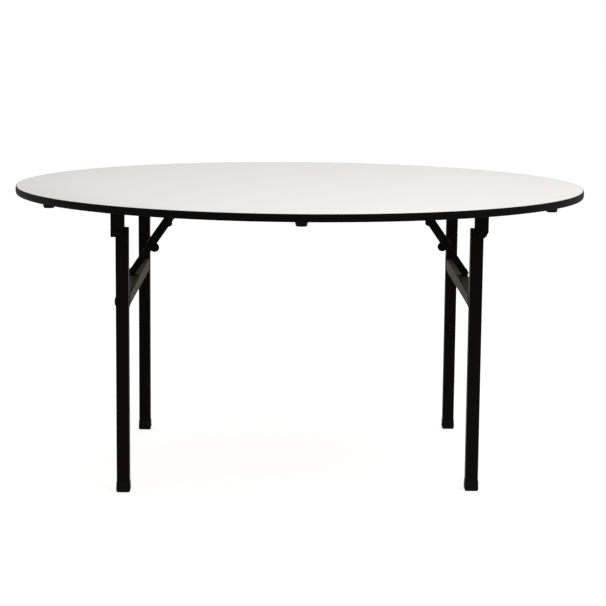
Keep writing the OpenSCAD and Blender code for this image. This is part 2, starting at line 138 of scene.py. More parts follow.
# %% A finish under construction
class Finish:
    """A material with one Principled shader. Constants are set on the shader's own sockets."""

    def __init__(self, name, **constants):
        self.material = bpy.data.materials.new(name)
        self.material.use_nodes = True
        self.tree = self.material.node_tree
        self.tree.nodes.clear()
        output = self.tree.nodes.new("ShaderNodeOutputMaterial")
        self.shader = self.tree.nodes.new("ShaderNodeBsdfPrincipled")
        self.tree.links.new(self.shader.outputs[0], output.inputs["Surface"])
        for key, value in constants.items():
            socket = self.shader.inputs[key.replace("_", " ").replace("Ior", "IOR")]
            socket.default_value = value
        self.place = self.node("ShaderNodeTexCoord", output="Object")

    def node(self, kind, settings=None, inputs=None, output=None):
        """Add a node: its options first, then its sockets by identifier. Returns one output."""
        made = self.tree.nodes.new(kind)
        for key, value in (settings or {}).items():
            setattr(made, key, value)
        for key, value in (inputs or {}).items():
            self.feed(named(made.inputs, key), value)
        return Value(self, named(made.outputs, output) if output else made.outputs[0])

    def feed(self, socket, value):
        if isinstance(value, Value):
            self.tree.links.new(value.socket, socket)
        else:
            socket.default_value = value

    def shade(self, **channels):
        """Wire what changes over the surface into the shader."""
        for name, value in channels.items():
            self.feed(self.shader.inputs[name.replace("_", " ")], value)

    def stretched(self, scale, turn=0.0):
        """Object coordinates scaled along each axis, in cells per metre, and turned about Z."""
        inputs = {"Vector": self.place, "Scale": scale, "Rotation": (0.0, 0.0, turn)}
        return self.node("ShaderNodeMapping", {"vector_type": "POINT"}, inputs)

    def noise(self, scale, detail=2.0, roughness=0.5, at=None):
        """Soft noise from 0 to 1, so many cells per metre."""
        inputs = {"Vector": at or self.place, "Scale": scale}
        inputs |= {"Detail": detail, "Roughness": roughness}
        return self.node("ShaderNodeTexNoise", None, inputs)

    def ease(self, value, low, high):
        """A mask that climbs smoothly from 0 at low to 1 at high."""
        inputs = {"Value": value, "From Min": low, "From Max": high}
        settings = {"interpolation_type": "SMOOTHSTEP", "clamp": True}
        return self.node("ShaderNodeMapRange", settings, inputs)

    def blend(self, mask, first, second):
        """One colour where the mask is 0, the other where it is 1."""
        first = (*first, 1.0) if isinstance(first, tuple) else first
        second = (*second, 1.0) if isinstance(second, tuple) else second
        inputs = {"Factor_Float": mask, "A_Color": first, "B_Color": second}
        return self.node("ShaderNodeMix", {"data_type": "RGBA"}, inputs, output="Result_Color")

    def bump(self, height, strength, depth):
        """A normal from a height, where depth is the height's full range in metres."""
        inputs = {"Height": height, "Strength": strength, "Distance": depth}
        return self.node("ShaderNodeBump", None, inputs)

    def fold(self, value):
        """The value folded back and forth between 0 and 1."""
        inputs = {"Value": value, "Value_001": 1.0}
        return self.node("ShaderNodeMath", {"operation": "PINGPONG"}, inputs)

    def axis(self, name):
        """The X, Y or Z of the place, in metres."""
        return self.node("ShaderNodeSeparateXYZ", None, {"Vector": self.place}, output=name)


# %% [markdown]
# ## The white laminate
# The face is a sheet of hard plastic laminate, pressed against a very fine matte texture. Up close
# it is never one flat white: it carries soft clouds of tone, tiny flecks, and patches where wiping
# has polished it. The clouds and flecks go into the colour, the wiping into the roughness, and the
# pressed texture into a bump of a few hundredths of a millimetre.

# %% White laminate
def make_laminate():
    face = Finish("white laminate", Specular_Ior_Level=0.35)
    cloud = face.noise(2.4, 3.0)
    fleck = face.noise(650.0, 1.0)
    colour = face.blend(cloud * 0.65 + fleck * 0.35, (0.798, 0.768, 0.744), (0.856, 0.834, 0.812))
    wiped = face.noise(1.0, 4.0, 0.6, at=face.stretched((2.5, 40.0, 1.0), 0.6))
    roughness = 0.36 + 0.12 * cloud - 0.10 * face.ease(wiped, 0.52, 0.72)
    texture = face.noise(1500.0, 2.0)
    face.shade(Base_Color=colour, Roughness=roughness, Normal=face.bump(texture, 0.3, 0.03 * MM))
    return face.material


# %% [markdown]
# ## Black vinyl and moulded plastic
# The edge band is a strip of extruded vinyl, knocked into a slot all round and butted at the back,
# so it has one hairline seam. It takes the knocks when the table is rolled on its edge, and they
# leave pale rubs. The foot caps and bumpers are moulded, with a fine matte skin, and pick up dust
# where they meet the floor.

# %% Edge vinyl and moulded plastic
SEAM_W = 0.5 * MM
DUST_H = 7 * MM


def make_edge_vinyl():
    band = Finish("black edge vinyl", Specular_Ior_Level=0.03)
    rub = band.noise(1.0, 5.0, 0.7, at=band.stretched((9.0, 9.0, 90.0)))
    rubbed = band.ease(rub, 0.60, 0.74)
    colour = band.blend(rubbed * 0.6, (0.0036, 0.0036, 0.0038), (0.012, 0.012, 0.012))
    seam = (abs(band.axis("X")) < SEAM_W / 2) * (band.axis("Y") > 0.0)
    colour = band.blend(seam, colour, (0.001, 0.001, 0.001))
    roughness = 0.56 + 0.12 * rubbed + 0.06 * band.noise(30.0)
    height = band.noise(1100.0, 2.0) * 0.6 - seam
    band.shade(Base_Color=colour, Roughness=roughness, Normal=band.bump(height, 0.25, 0.05 * MM))
    return band.material


def make_moulded_plastic():
    plastic = Finish("black moulded plastic", Specular_Ior_Level=0.07)
    skin = plastic.noise(1500.0, 2.0)
    near_floor = plastic.ease(plastic.axis("Z"), DUST_H, 0.0)
    dust = near_floor * plastic.ease(plastic.noise(240.0, 4.0, 0.7), 0.42, 0.66)
    colour = plastic.blend(dust * 0.7, (0.0026, 0.0025, 0.0024), (0.030, 0.027, 0.024))
    roughness = 0.50 + 0.10 * plastic.noise(60.0) + 0.25 * dust
    normal = plastic.bump(skin, 0.35, 0.04 * MM)
    plastic.shade(Base_Color=colour, Roughness=roughness, Normal=normal)
    return plastic.material


# %% [markdown]
# ## Powder coat
# The tubes and brackets are sprayed with dry paint and baked. The skin that forms has a gentle
# orange peel a few millimetres across, thins on every outer edge, and gathers faint haze from
# hands. A Bevel node finds the edges: where the rounded normal leans away from the flat one, the
# point is on an edge, and there the paint is a little worn. In the photograph the two crossbars
# are browner and duller than the legs, from warm light that falls on them. They get a coat of
# their own from the same recipe, whose brown base colour is painted warm light, with a thin film
# of dust: sheen, which shows only where a surface is seen at a low angle.

# %% Powder coat
EDGE_REACH = 1.2 * MM
WEAR_TONE = 0.013
WARM = (1.0, 0.88, 0.74, 1.0)
DUST_FILM = 0.05
DUST_TINT = (1.0, 0.82, 0.56, 1.0)


def make_powder_coat(title, gloss, dark, pale, dull, **film):
    paint = Finish(title, Specular_Ior_Level=gloss, Specular_Tint=WARM, **film)
    rounded = paint.node("ShaderNodeBevel", {"samples": 4}, {"Radius": EDGE_REACH})
    flat = paint.node("ShaderNodeNewGeometry", output="Normal")
    inputs = {"Vector": rounded, "Vector_001": flat}
    same = paint.node("ShaderNodeVectorMath", {"operation": "DOT_PRODUCT"}, inputs, output="Value")
    on_edge = paint.ease(1.0 - same, 0.01, 0.20)
    worn = on_edge * paint.ease(paint.noise(45.0, 4.0, 0.65), 0.46, 0.70)
    haze = paint.noise(7.0, 4.0)
    colour = paint.blend(haze, dark, pale)
    colour = paint.blend(worn * 0.8, colour, tuple(tone + WEAR_TONE for tone in pale))
    roughness = dull + 0.10 * haze + 0.10 * worn
    peel = paint.noise(380.0, 2.0) * 0.8 + paint.noise(2400.0, 1.0) * 0.2
    paint.shade(Base_Color=colour, Roughness=roughness, Normal=paint.bump(peel, 0.22, 0.10 * MM))
    return paint.material


# %% [markdown]
# ## Fixings
# The pins, rivets, bolts and latches are steel with a black coating that is thinner and harder than
# the paint. The wood screws are zinc plated: the plating grows in small crystals, which read as
# patches of slightly different brightness.

# %% Black fixings and zinc plate
def make_black_fixings():
    steel = Finish("black coated steel", Metallic=0.15, Specular_Ior_Level=0.045)
    patch = steel.noise(160.0, 3.0)
    colour = steel.blend(patch, (0.0024, 0.0023, 0.0022), (0.0058, 0.0055, 0.0051))
    roughness = 0.34 + 0.18 * steel.noise(500.0, 2.0)
    height = steel.noise(1800.0, 2.0)
    steel.shade(Base_Color=colour, Roughness=roughness, Normal=steel.bump(height, 0.15, 0.03 * MM))
    return steel.material


def make_zinc():
    zinc = Finish("zinc plate", Metallic=1.0)
    cell = zinc.node("ShaderNodeTexVoronoi", None, {"Vector": zinc.place, "Scale": 900.0}, "Color")
    shade = zinc.node("ShaderNodeSeparateColor", None, {"Color": cell}, output="Red")
    colour = zinc.blend(shade, (0.46, 0.465, 0.475), (0.60, 0.60, 0.59))
    zinc.shade(Base_Color=colour, Roughness=0.30 + 0.14 * shade)
    return zinc.material


# %% [markdown]
# ## Wood
# Under the laminate is plywood, closed below by a clear-sealed veneer. The figure of a sliced
# veneer is made of contour lines, as on a map: noise that is stretched along the grain is folded
# back and forth, and every fold becomes one growth ring. Fine stretched noise adds the pores.

# %% Veneer and plywood
PLY_T = 1.35 * MM


def make_veneer():
    wood = Finish("sealed birch veneer", Specular_Ior_Level=0.35)
    hill = wood.noise(1.0, 2.0, 0.45, at=wood.stretched((0.9, 4.6, 4.6)))
    ring = wood.fold(hill * 26.0)
    pores = wood.noise(1.0, 3.0, 0.65, at=wood.stretched((28.0, 900.0, 900.0)))
    shade = ring * 0.55 + pores * 0.45
    colour = wood.blend(shade, (0.50, 0.345, 0.200), (0.335, 0.205, 0.105))
    roughness = 0.42 + 0.16 * pores
    wood.shade(Base_Color=colour, Roughness=roughness, Normal=wood.bump(pores, 0.25, 0.10 * MM))
    return wood.material


def make_plywood():
    wood = Finish("plywood core", Specular_Ior_Level=0.2)
    layer = wood.fold(wood.axis("Z") / PLY_T)
    pores = wood.noise(1.0, 3.0, 0.6, at=wood.stretched((30.0, 700.0, 700.0)))
    colour = wood.blend(layer * 0.7 + pores * 0.3, (0.52, 0.36, 0.20), (0.30, 0.18, 0.09))
    wood.shade(Base_Color=colour, Roughness=0.65 + 0.15 * pores)
    return wood.material


# %% Mix the finishes
laminate = make_laminate()
edge_vinyl = make_edge_vinyl()
moulded_plastic = make_moulded_plastic()
powder_coat = make_powder_coat(
    "black powder coat", 0.045, (0.0022, 0.0021, 0.0019), (0.0042, 0.0040, 0.0037), 0.48
)
# The crossbars' coat: its brown base colour, about ten times paler than the legs', is painted warm light. The
# sheen is a film of dust.
crossbar_painted_light_coat = make_powder_coat(
    "powder coat with dust sheen and painted warm light", 0.038, (0.024, 0.018, 0.009), (0.034, 0.026, 0.014), 0.53,
    Sheen_Weight=DUST_FILM, Sheen_Roughness=0.40, Sheen_Tint=DUST_TINT
)
black_fixings = make_black_fixings()
zinc = make_zinc()
veneer = make_veneer()
plywood = make_plywood()
FINISH_OF_SLOT = {
    "laminate": laminate,
    "edge_vinyl": edge_vinyl,
    "black_plastic": moulded_plastic,
    "powder_coat": powder_coat,
    "black_fixings": black_fixings,
    "zinc": zinc,
    "backing": veneer,
    "ply": plywood,
}
print("finishes:", len(FINISH_OF_SLOT))

# %% [markdown]
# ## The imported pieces
# Tubes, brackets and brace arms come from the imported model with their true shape. Real sheet and
# tube have no perfectly sharp edge, and it is the small round on each edge that draws a thin light
# line and makes metal look like metal. The mesh comes as loose triangles, so they are welded and
# flat areas are merged first, and then a narrow bevel is put on the sharp edges only.

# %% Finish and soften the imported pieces
EDGE_EASE = 0.35 * MM
EASE_STEPS = 2
SHARP_ANGLE = math.radians(50)
FLAT_ANGLE = math.radians(0.5)
SAME_POINT = 0.001 * MM


def soften(piece):
    """Round the sharp edges by a third of a millimetre."""
    weld = piece.modifiers.new("Join the triangles", "WELD")
    weld.merge_threshold = SAME_POINT
    flat = piece.modifiers.new("Merge flat areas", "DECIMATE")
    flat.decimate_type = "DISSOLVE"
    flat.angle_limit = FLAT_ANGLE
    bevel = piece.modifiers.new("Ease the edges", "BEVEL")
    bevel.width = EDGE_EASE
    bevel.segments = EASE_STEPS
    bevel.limit_method = "ANGLE"
    bevel.angle_limit = SHARP_ANGLE
    bevel.use_clamp_overlap = True
    bevel.harden_normals = True


for part in frame["record"]["subparts"]:
    piece = nodes[part["node"]]
    is_crossbar = part["node"].endswith("crossbar")
    piece.data.materials.clear()
    # Crossbars get the coat whose brown base colour is painted warm light.
    piece.data.materials.append(
        crossbar_painted_light_coat if is_crossbar else FINISH_OF_SLOT[part["material_slot"]]
    )
    if part["material_slot"] == "powder_coat":
        soften(piece)

# %% [markdown]
# ## Skins over loops
# Nearly every small piece here is a stack of loops with a skin over them: circles for a rivet,
# rounded squares for a foot cap, hexagons for a nut. One function joins each loop to the next. A
# loop of a single point closes the shape with a fan, and a stack may also run back into itself.

# %% The skin, and the loops
def skin(loops, ring=False):
    """Join each loop of points to the next. A single point closes the end."""
    made = bmesh.new()
    stack = [[made.verts.new(point) for point in loop] for loop in loops]
    pairs = list(zip(stack, stack[1:])) + ([(stack[-1], stack[0])] if ring else [])
    for lower, upper in pairs:
        count = max(len(lower), len(upper))
        for i in range(count):
            j = (i + 1) % count
            corners = [lower[i % len(lower)], lower[j % len(lower)]]
            corners += [upper[j % len(upper)], upper[i % len(upper)]]
            made.faces.new(list(dict.fromkeys(corners)))
    bmesh.ops.recalc_face_normals(made, faces=made.faces)
    return made


def circle(radius, height, steps):
    """A level ring of points, or a single point where the radius is zero."""
    if radius == 0:
        return [(0.0, 0.0, height)]
    turns = [2 * math.pi * i / steps for i in range(steps)]
    return [(radius * math.cos(a), radius * math.sin(a), height) for a in turns]


def lathe(profile, steps=48, ring=False):
    """Turn a profile of (radius, height) points round Z."""
    return skin([circle(radius, height, steps) for radius, height in profile], ring)


def arc(x, y, radius, start, end, steps):
    """Points on an arc, with its angles in degrees."""
    turns = [math.radians(start + (end - start) * i / steps) for i in range(steps + 1)]
    return [(x + radius * math.cos(a), y + radius * math.sin(a)) for a in turns]


# %% From loose shapes to a finished piece
def gather(shapes):
    """One shape from several (shape, place) pairs."""
    whole = bmesh.new()
    for shape, place in shapes:
        shape.transform(place)
        part = bpy.data.meshes.new("part")
        shape.to_mesh(part)
        shape.free()
        whole.from_mesh(part)
        bpy.data.meshes.remove(part)
    return whole


def show(mesh, name, sharp=35):
    """Put a mesh in the scene, smooth but for edges sharper than this many degrees."""
    mesh.name = name
    mesh.shade_smooth()
    mesh.set_sharp_from_angle(angle=math.radians(sharp))
    piece = bpy.data.objects.new(name, mesh)
    bpy.context.scene.collection.objects.link(piece)
    return piece


def piece_from(shape, name, sharp=35):
    mesh = bpy.data.meshes.new(name)
    shape.to_mesh(mesh)
    shape.free()
    return show(mesh, name, sharp)


def settle(piece, body, slot, *stands_for):
    """Give a piece its finish, its body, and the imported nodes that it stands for."""
    piece.data.materials.clear()
    piece.data.materials.append(FINISH_OF_SLOT[slot])
    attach(piece, body)
    if stands_for:
        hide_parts(*stands_for)
    print(piece.name, "faces:", len(piece.data.polygons), "on", body)


def assemble(shapes, name, body, slot, stands_for, sharp=35):
    """Settle one piece made of several (shape, place) pairs."""
    settle(piece_from(gather(shapes), name, sharp), body, slot, stands_for)


# %% [markdown]
# ## The top's face and edge
# The rim of a 1.5 m disc is long, and the eye finds every flat step in it. So the laminate and the
# band are turned afresh with several hundred steps. The laminate's own edge is just broken with a
# file. The band's face is crowned, proud in the middle and drawn in at both lips, which tapers the
# rim at either end of the photograph. Its barb sits in the core's slot.

# %% Laminate and edge band
RIM_STEPS = 720
BAND_W = 2.6 * MM
BAND_CROWN = 2.4 * MM
CROWN_STEPS = 14
BARB_L = 12 * MM
BARB_T = 2.2 * MM
laminate_low, laminate_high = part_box("laminate_top")
LAMINATE_R = laminate_high.x
FILED = 0.3 * MM


def laminate_profile():
    low, high = laminate_low.z, laminate_high.z
    inner = [(LAMINATE_R * share, high) for share in (0.0, 0.2, 0.4, 0.6, 0.8)]
    filed = [(LAMINATE_R - FILED, high), (LAMINATE_R - FILED / 4, high - FILED / 4)]
    outer = [(LAMINATE_R, high - FILED), (LAMINATE_R, low), (0.0, low)]
    return inner + filed + outer


def band_profile():
    inner = TOP_R - BAND_W
    middle_z = (UNDERSIDE_Z + TABLE_Z) / 2
    half_h = TOP_T / 2
    turns = [math.pi / 2 * step / CROWN_STEPS for step in range(-CROWN_STEPS, CROWN_STEPS + 1)]
    crown = [(TOP_R - BAND_CROWN * (1 - math.cos(turn)), middle_z + half_h * math.sin(turn))
             for turn in turns]
    barb_tip = LAMINATE_R - BARB_L
    barb = [(inner, middle_z + BARB_T / 2), (barb_tip, middle_z + BARB_T / 4)]
    barb += [(barb_tip, middle_z - BARB_T / 4), (inner, middle_z - BARB_T / 2)]
    return [(inner, UNDERSIDE_Z), *crown, (inner, TABLE_Z), *barb]


face = piece_from(lathe(laminate_profile(), RIM_STEPS), "laminate_face")
settle(face, "tabletop", "laminate", "laminate_top")
band = piece_from(lathe(band_profile(), RIM_STEPS, ring=True), "vinyl_edge_band")
settle(band, "tabletop", "edge_vinyl", "edge_band")

# %% [markdown]
# ## Copies on points with Geometry Nodes
# Thirty wood screws are copies of one shape, and six bumpers of another. A small node tree puts a
# copy on every point it is given, each turned by its own amount about Z, because no one lines up
# the crosses of screw heads. The tree ends by making the copies real and giving them their finish,
# and the result is kept as a plain mesh.

# %% The tree that copies a shape
class Nodes:
    """A Geometry Nodes tree under construction."""

    def __init__(self, name):
        self.tree = bpy.data.node_groups.new(name, "GeometryNodeTree")
        self.new_socket("Geometry", "INPUT", "Geometry")
        self.new_socket("Geometry", "OUTPUT", "Geometry")
        self.entry = self.tree.nodes.new("NodeGroupInput")
        self.exit = self.tree.nodes.new("NodeGroupOutput")
        self.identifiers = {}

    def new_socket(self, name, in_out, kind):
        kind = "NodeSocket" + kind
        return self.tree.interface.new_socket(name, in_out=in_out, socket_type=kind)

    def input(self, name, kind):
        self.identifiers[name] = self.new_socket(name, "INPUT", kind).identifier
        return self.entry.outputs[name]

    def node(self, kind, settings=None, inputs=None, output=None):
        made = self.tree.nodes.new(kind)
        for key, value in (settings or {}).items():
            setattr(made, key, value)
        for key, value in (inputs or {}).items():
            socket = named(made.inputs, key)
            if isinstance(value, bpy.types.NodeSocket):
                self.tree.links.new(value, socket)
            else:
                socket.default_value = value
        return named(made.outputs, output) if output else made.outputs[0]

    def finish(self, geometry, material):
        """End the tree: copies are made real and given their material."""
        real = self.node("GeometryNodeRealizeInstances", None, {"Geometry": geometry})
        inputs = {"Geometry": real, "Material": material}
        done = self.node("GeometryNodeSetMaterial", None, inputs)
        self.tree.links.new(done, self.exit.inputs[0])

    def run(self, base, values, name):
        """Run the tree on a base mesh with these inputs, and return a plain mesh."""
        carrier = bpy.data.objects.new(name, base)
        bpy.context.scene.collection.objects.link(carrier)
        modifier = carrier.modifiers.new(self.tree.name, "NODES")
        modifier.node_group = self.tree
        for key, value in values.items():
            modifier[self.identifiers[key]] = value
        bpy.context.view_layer.update()
        evaluated = carrier.evaluated_get(bpy.context.evaluated_depsgraph_get())
        mesh = bpy.data.meshes.new_from_object(evaluated)
        bpy.data.objects.remove(carrier)
        return mesh


def copying_tree():
    """A copy of the shape on each point, turned about Z at random."""
    tree = Nodes("Copies on points")
    shape = tree.input("Shape", "Object")
    finish = tree.input("Finish", "Material")
    seed = tree.input("Seed", "Int")
    copied = tree.node("GeometryNodeObjectInfo", None, {"Object": shape}, "Geometry")
    settings = {"data_type": "FLOAT_VECTOR"}
    limits = {"Min": (0.0, 0.0, 0.0), "Max": (0.0, 0.0, 2 * math.pi), "Seed": seed}
    spin = tree.node("FunctionNodeRandomValue", settings, limits)
    inputs = {"Points": tree.entry.outputs[0], "Instance": copied, "Rotation": spin}
    tree.finish(tree.node("GeometryNodeInstanceOnPoints", None, inputs), finish)
    return tree


COPIES = copying_tree()


def copies(shape, places, name, slot, seed):
    """A mesh with the shape at every place."""
    model = piece_from(shape, name + "_model")
    base = bpy.data.meshes.new(name + "_points")
    base.from_pydata(places, [], [])
    values = {"Shape": model, "Finish": FINISH_OF_SLOT[slot], "Seed": seed}
    mesh = COPIES.run(base, values, name)
    bpy.data.objects.remove(model)
    return show(mesh, name)


# %% [markdown]
# ## Wood screws
# A pan-head screw has a low dome with a cross driven into it. The dome is turned, and the cross is
# two tapered bars that are cut out of it. The thread is inside the wood, so plain ridges will do.

# %% The wood screw
SCREW_R = 2.25 * MM
SCREW_L = 14 * MM
HEAD_R = 4.5 * MM
HEAD_H = 2.6 * MM
HEAD_CURVE = (0.25, 0.45, 0.62, 0.76, 0.88, 0.96)
HEAD_FALL = 0.62
HEAD_WALL = 0.30
THREAD_TURNS = 7
THREAD_START = 2.0 * MM
THREAD_STEP = 1.5 * MM
THREAD_ROOT = 0.72
CROSS_W = 1.3 * MM
CROSS_L = 5.2 * MM
CROSS_DEEP = 1.7 * MM
CROSS_ABOVE = 1 * MM
HEAD_EDGE = 0.05 * MM
SCREW_STEPS = 32


def screw_body():
    """A screw along Z: its head below zero and its thread above."""
    head = [(0.0, -HEAD_H)]
    head += [(HEAD_R * out, -HEAD_H * (1 - out ** 4 * HEAD_FALL)) for out in HEAD_CURVE]
    head += [(HEAD_R, -HEAD_H * HEAD_WALL), (HEAD_R, -HEAD_EDGE), (HEAD_R - HEAD_EDGE, 0.0)]
    thread = [(SCREW_R, 0.0)]
    root = SCREW_R * THREAD_ROOT
    for i in range(THREAD_TURNS):
        z = THREAD_START + THREAD_STEP * i
        thread += [(root, z), (SCREW_R, z + 0.5 * MM), (root, z + 0.9 * MM)]
    tip = [(0.0, SCREW_L - HEAD_H / 4)]
    return lathe(head + thread + tip, SCREW_STEPS)


def rectangle(x, y, z):
    """A level rectangle from its half sizes."""
    return [(x, y, z), (-x, y, z), (-x, -y, z), (x, -y, z)]


def cross_cutter():
    """Two tapered bars at right angles, wide above the head and narrow inside it."""
    bars = []
    z_out, z_in = -HEAD_H - CROSS_ABOVE, CROSS_DEEP - HEAD_H
    outer = rectangle(CROSS_L / 2, CROSS_W / 2, z_out)
    inner = rectangle(CROSS_L / 4, CROSS_W / 4, z_in)
    for turn in (0, 90):
        bar = skin([[(0.0, 0.0, z_out)], outer, inner, [(0.0, 0.0, z_in)]])
        bars.append((bar, Matrix.Rotation(math.radians(turn), 4, "Z")))
    return bars


def cut(shape, cutters, name):
    """The shape with each cutter taken out of it."""
    body = piece_from(shape, name)
    tools = []
    for cutter, place in cutters:
        cutter.transform(place)
        tool = piece_from(cutter, name + "_tool")
        tools.append(tool)
        boolean = body.modifiers.new("Cut", "BOOLEAN")
        boolean.operation = "DIFFERENCE"
        boolean.solver = "EXACT"
        boolean.object = tool
    bpy.context.view_layer.update()
    evaluated = body.evaluated_get(bpy.context.evaluated_depsgraph_get())
    result = bmesh.new()
    result.from_mesh(bpy.data.meshes.new_from_object(evaluated))
    for thing in [body, *tools]:
        bpy.data.objects.remove(thing)
    return result


# %% Where the screws go
LEG_PLATE_T = 3 * MM
TOP_PLATE_T = 3 * MM
LEG_SCREWS = (32 * MM, 10 * MM)
TOP_SCREWS = (28 * MM, 13 * MM)
BUMPER_FLOOR = 4 * MM


def corners(node, spacing, drop):
    """Four screw places round the middle of a bracket, at this depth under the top."""
    centre = middle(node)
    return [Vector((centre.x + dx * spacing[0], centre.y + dy * spacing[1], UNDERSIDE_Z - drop))
            for dx in (-1, 1) for dy in (-1, 1)]


leg_brackets = [f"{side}_{end}_leg_bracket" for side in SIDES for end in ("front", "rear")]
top_brackets = [f"{side}_brace_bracket" for side in SIDES]
leg_screw_places = [p for node in leg_brackets for p in corners(node, LEG_SCREWS, LEG_PLATE_T)]
top_screw_places = [p for node in top_brackets for p in corners(node, TOP_SCREWS, TOP_PLATE_T)]


def drive_screws(places, name, seed, stands_for):
    """A screw at every place, each with its cross turned its own way."""
    screw = cut(screw_body(), cross_cutter(), "screw")
    settle(copies(screw, places, name, "zinc", seed), "tabletop", "zinc", stands_for)


drive_screws(leg_screw_places, "leg_plate_screws", 3, "leg_bracket_screws")
drive_screws(top_screw_places, "brace_plate_screws", 5, "brace_bracket_screws")

# %% [markdown]
# ## Stacking bumpers
# Six rubbery cups under the rim keep stacked tables apart. Each is a low cone with a well for its
# screw and a soft rounded lip, with a fine groove round it where the mould parts.

# %% Bumpers and their screws
BUMPER_R = 15.5 * MM
BUMPER_TIP_R = 13.5 * MM
BUMPER_H = 12 * MM
WELL_R = 7 * MM
LIP = 2 * MM
BRIM = 1 * MM
BORE_R = SCREW_R + 0.1 * MM
PART_LINE_Z = -4 * MM
PART_LINE = 0.15 * MM
FINE_STEPS = 64


def bumper():
    """A cup that hangs down from zero, with a bore for its screw."""
    lean = (BUMPER_TIP_R - BUMPER_R) / (BUMPER_H - LIP)
    line_r = BUMPER_R - lean * PART_LINE_Z
    side = [(BUMPER_R - 0.3 * MM, 0.0), (BUMPER_R, -0.3 * MM), (line_r, PART_LINE_Z + PART_LINE)]
    side += [(line_r - PART_LINE, PART_LINE_Z), (line_r, PART_LINE_Z - PART_LINE)]
    lip = [(r, -z) for r, z in arc(BUMPER_TIP_R - LIP, BUMPER_H - LIP, LIP, 0, 90, 7)]
    brim = [(r, -z) for r, z in arc(WELL_R + BRIM, BUMPER_H - BRIM, BRIM, 90, 180, 4)]
    well = [(WELL_R, -BUMPER_FLOOR - 0.4 * MM), (WELL_R - 0.4 * MM, -BUMPER_FLOOR)]
    bore = [(BORE_R, -BUMPER_FLOOR), (BORE_R, 0.0)]
    return lathe([*side, *lip, *brim, *well, *bore], FINE_STEPS, ring=True)


bumper_ring_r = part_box("stacking_bumpers")[1].y - BUMPER_R
bumper_turns = [math.radians(30 + 60 * i) for i in range(6)]
bumper_places = [Vector((bumper_ring_r * math.cos(a), bumper_ring_r * math.sin(a), UNDERSIDE_Z))
                 for a in bumper_turns]
bumpers = copies(bumper(), bumper_places, "rim_bumpers", "black_plastic", 7)
settle(bumpers, "tabletop", "black_plastic", "stacking_bumpers")
screw_places = [place - Vector((0, 0, BUMPER_FLOOR)) for place in bumper_places]
drive_screws(screw_places, "bumper_fixing_screws", 9, "bumper_screws")

# %% [markdown]
# ## Bolts and nuts
# A hexagon head is a bar of hexagonal steel whose corners were turned off at 30 degrees. So a point
# of the outline shifts by an amount that grows with its distance from the middle, which gives the
# curved edge that every real nut has. The bolt's end shows two turns of thread past the nut.

# %% Hexagons, bolts and nuts
HEX_R = 6.5 * MM
HEX_FACE_R = HEX_R * 0.97
HEX_SEAT_R = HEX_R * 0.95
CHAMFER_SLOPE = math.tan(math.radians(30))
BOLT_R = 4 * MM
BOLT_ROOT_R = BOLT_R * 0.86
BOLT_TIP_R = BOLT_R * 0.85
BOLT_HEAD_H = 5.3 * MM
NUT_H = 6.5 * MM
NUT_HOLE_R = BOLT_R + 0.05 * MM
NUT_LEAD = 0.4 * MM
BOLT_END = 9 * MM
THREAD_PITCH = 1.25 * MM
HEX_STEPS = 48


def hex_ring(radius, height):
    return circle(radius, height, HEX_STEPS)


def hex_loop(height, way):
    """A hexagon whose corners the chamfer raises for a way of 1 and lowers for -1."""
    sixth = math.pi / 3
    loop = []
    for i in range(HEX_STEPS):
        turn = 2 * math.pi * i / HEX_STEPS
        reach = HEX_R / math.cos((turn + sixth / 2) % sixth - sixth / 2)
        rise = way * (reach - HEX_FACE_R) * CHAMFER_SLOPE
        loop.append((reach * math.cos(turn), reach * math.sin(turn), height + rise))
    return loop


def pivot_bolt(grip):
    """A bolt along Z. Its head is below zero, and it reaches the grip and a nut's length beyond."""
    end = grip + BOLT_END
    head = [hex_ring(0, -BOLT_HEAD_H), hex_ring(HEX_FACE_R, -BOLT_HEAD_H)]
    head += [hex_loop(-BOLT_HEAD_H, 1), hex_loop(-0.3 * MM, 0)]
    head += [hex_ring(HEX_SEAT_R, 0.0), hex_ring(BOLT_R, 0.0)]
    turns = int(BOLT_END / THREAD_PITCH)
    shank = []
    for i in range(turns):
        z = end - (turns - i) * THREAD_PITCH
        shank += [hex_ring(BOLT_R, z), hex_ring(BOLT_ROOT_R, z + THREAD_PITCH / 2)]
    tip = [hex_ring(BOLT_R, end - 0.6 * MM), hex_ring(BOLT_TIP_R, end), hex_ring(0, end)]
    return skin(head + shank + tip)


def pivot_nut():
    """A nut along Z from zero up."""
    lead_r = NUT_HOLE_R + NUT_LEAD
    outside = [hex_ring(HEX_FACE_R, 0.0), hex_loop(0.0, 1), hex_loop(NUT_H, -1)]
    outside += [hex_ring(HEX_FACE_R, NUT_H), hex_ring(lead_r, NUT_H)]
    inside = [hex_ring(NUT_HOLE_R, NUT_H - NUT_LEAD), hex_ring(NUT_HOLE_R, NUT_LEAD)]
    return skin(outside + inside + [hex_ring(lead_r, 0.0)], ring=True)


# %% Bolt the legs
def facing(direction):
    """A turn that points local Z along the direction."""
    return Vector(direction).to_track_quat("Z", "X").to_matrix().to_4x4()


joint_place = {joint["name"]: Vector(joint["pos_m"]) for joint in frame["joints"]}
leg_pivot = joint_place["left_leg_fold"]
bolts, nuts = [], []
for turn in SIDES.values():
    for end, outward in (("front", -1), ("rear", 1)):
        low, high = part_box(f"left_{end}_leg_bracket")
        outer_y, inner_y = (low.y, high.y) if outward < 0 else (high.y, low.y)
        inward = facing((0, -outward, 0))
        at_head = Matrix.Translation((leg_pivot.x, outer_y, leg_pivot.z)) @ inward
        at_nut = Matrix.Translation((leg_pivot.x, inner_y, leg_pivot.z)) @ inward
        bolts.append((pivot_bolt(high.y - low.y), turn @ at_head))
        nuts.append((pivot_nut(), turn @ at_nut))
assemble(bolts, "pivot_bolts", "tabletop", "black_fixings", "leg_pivot_bolts", 25)
assemble(nuts, "pivot_nuts", "tabletop", "black_fixings", "leg_pivot_nuts", 25)

# %% [markdown]
# ## Pins and rivets
# The brace turns on headed pins, and its knuckle is two stub rivets. A rivet head is a shallow dome
# because a hollow punch forms it. Each is a profile turned once, laid across the table, and turned
# again for the other side.

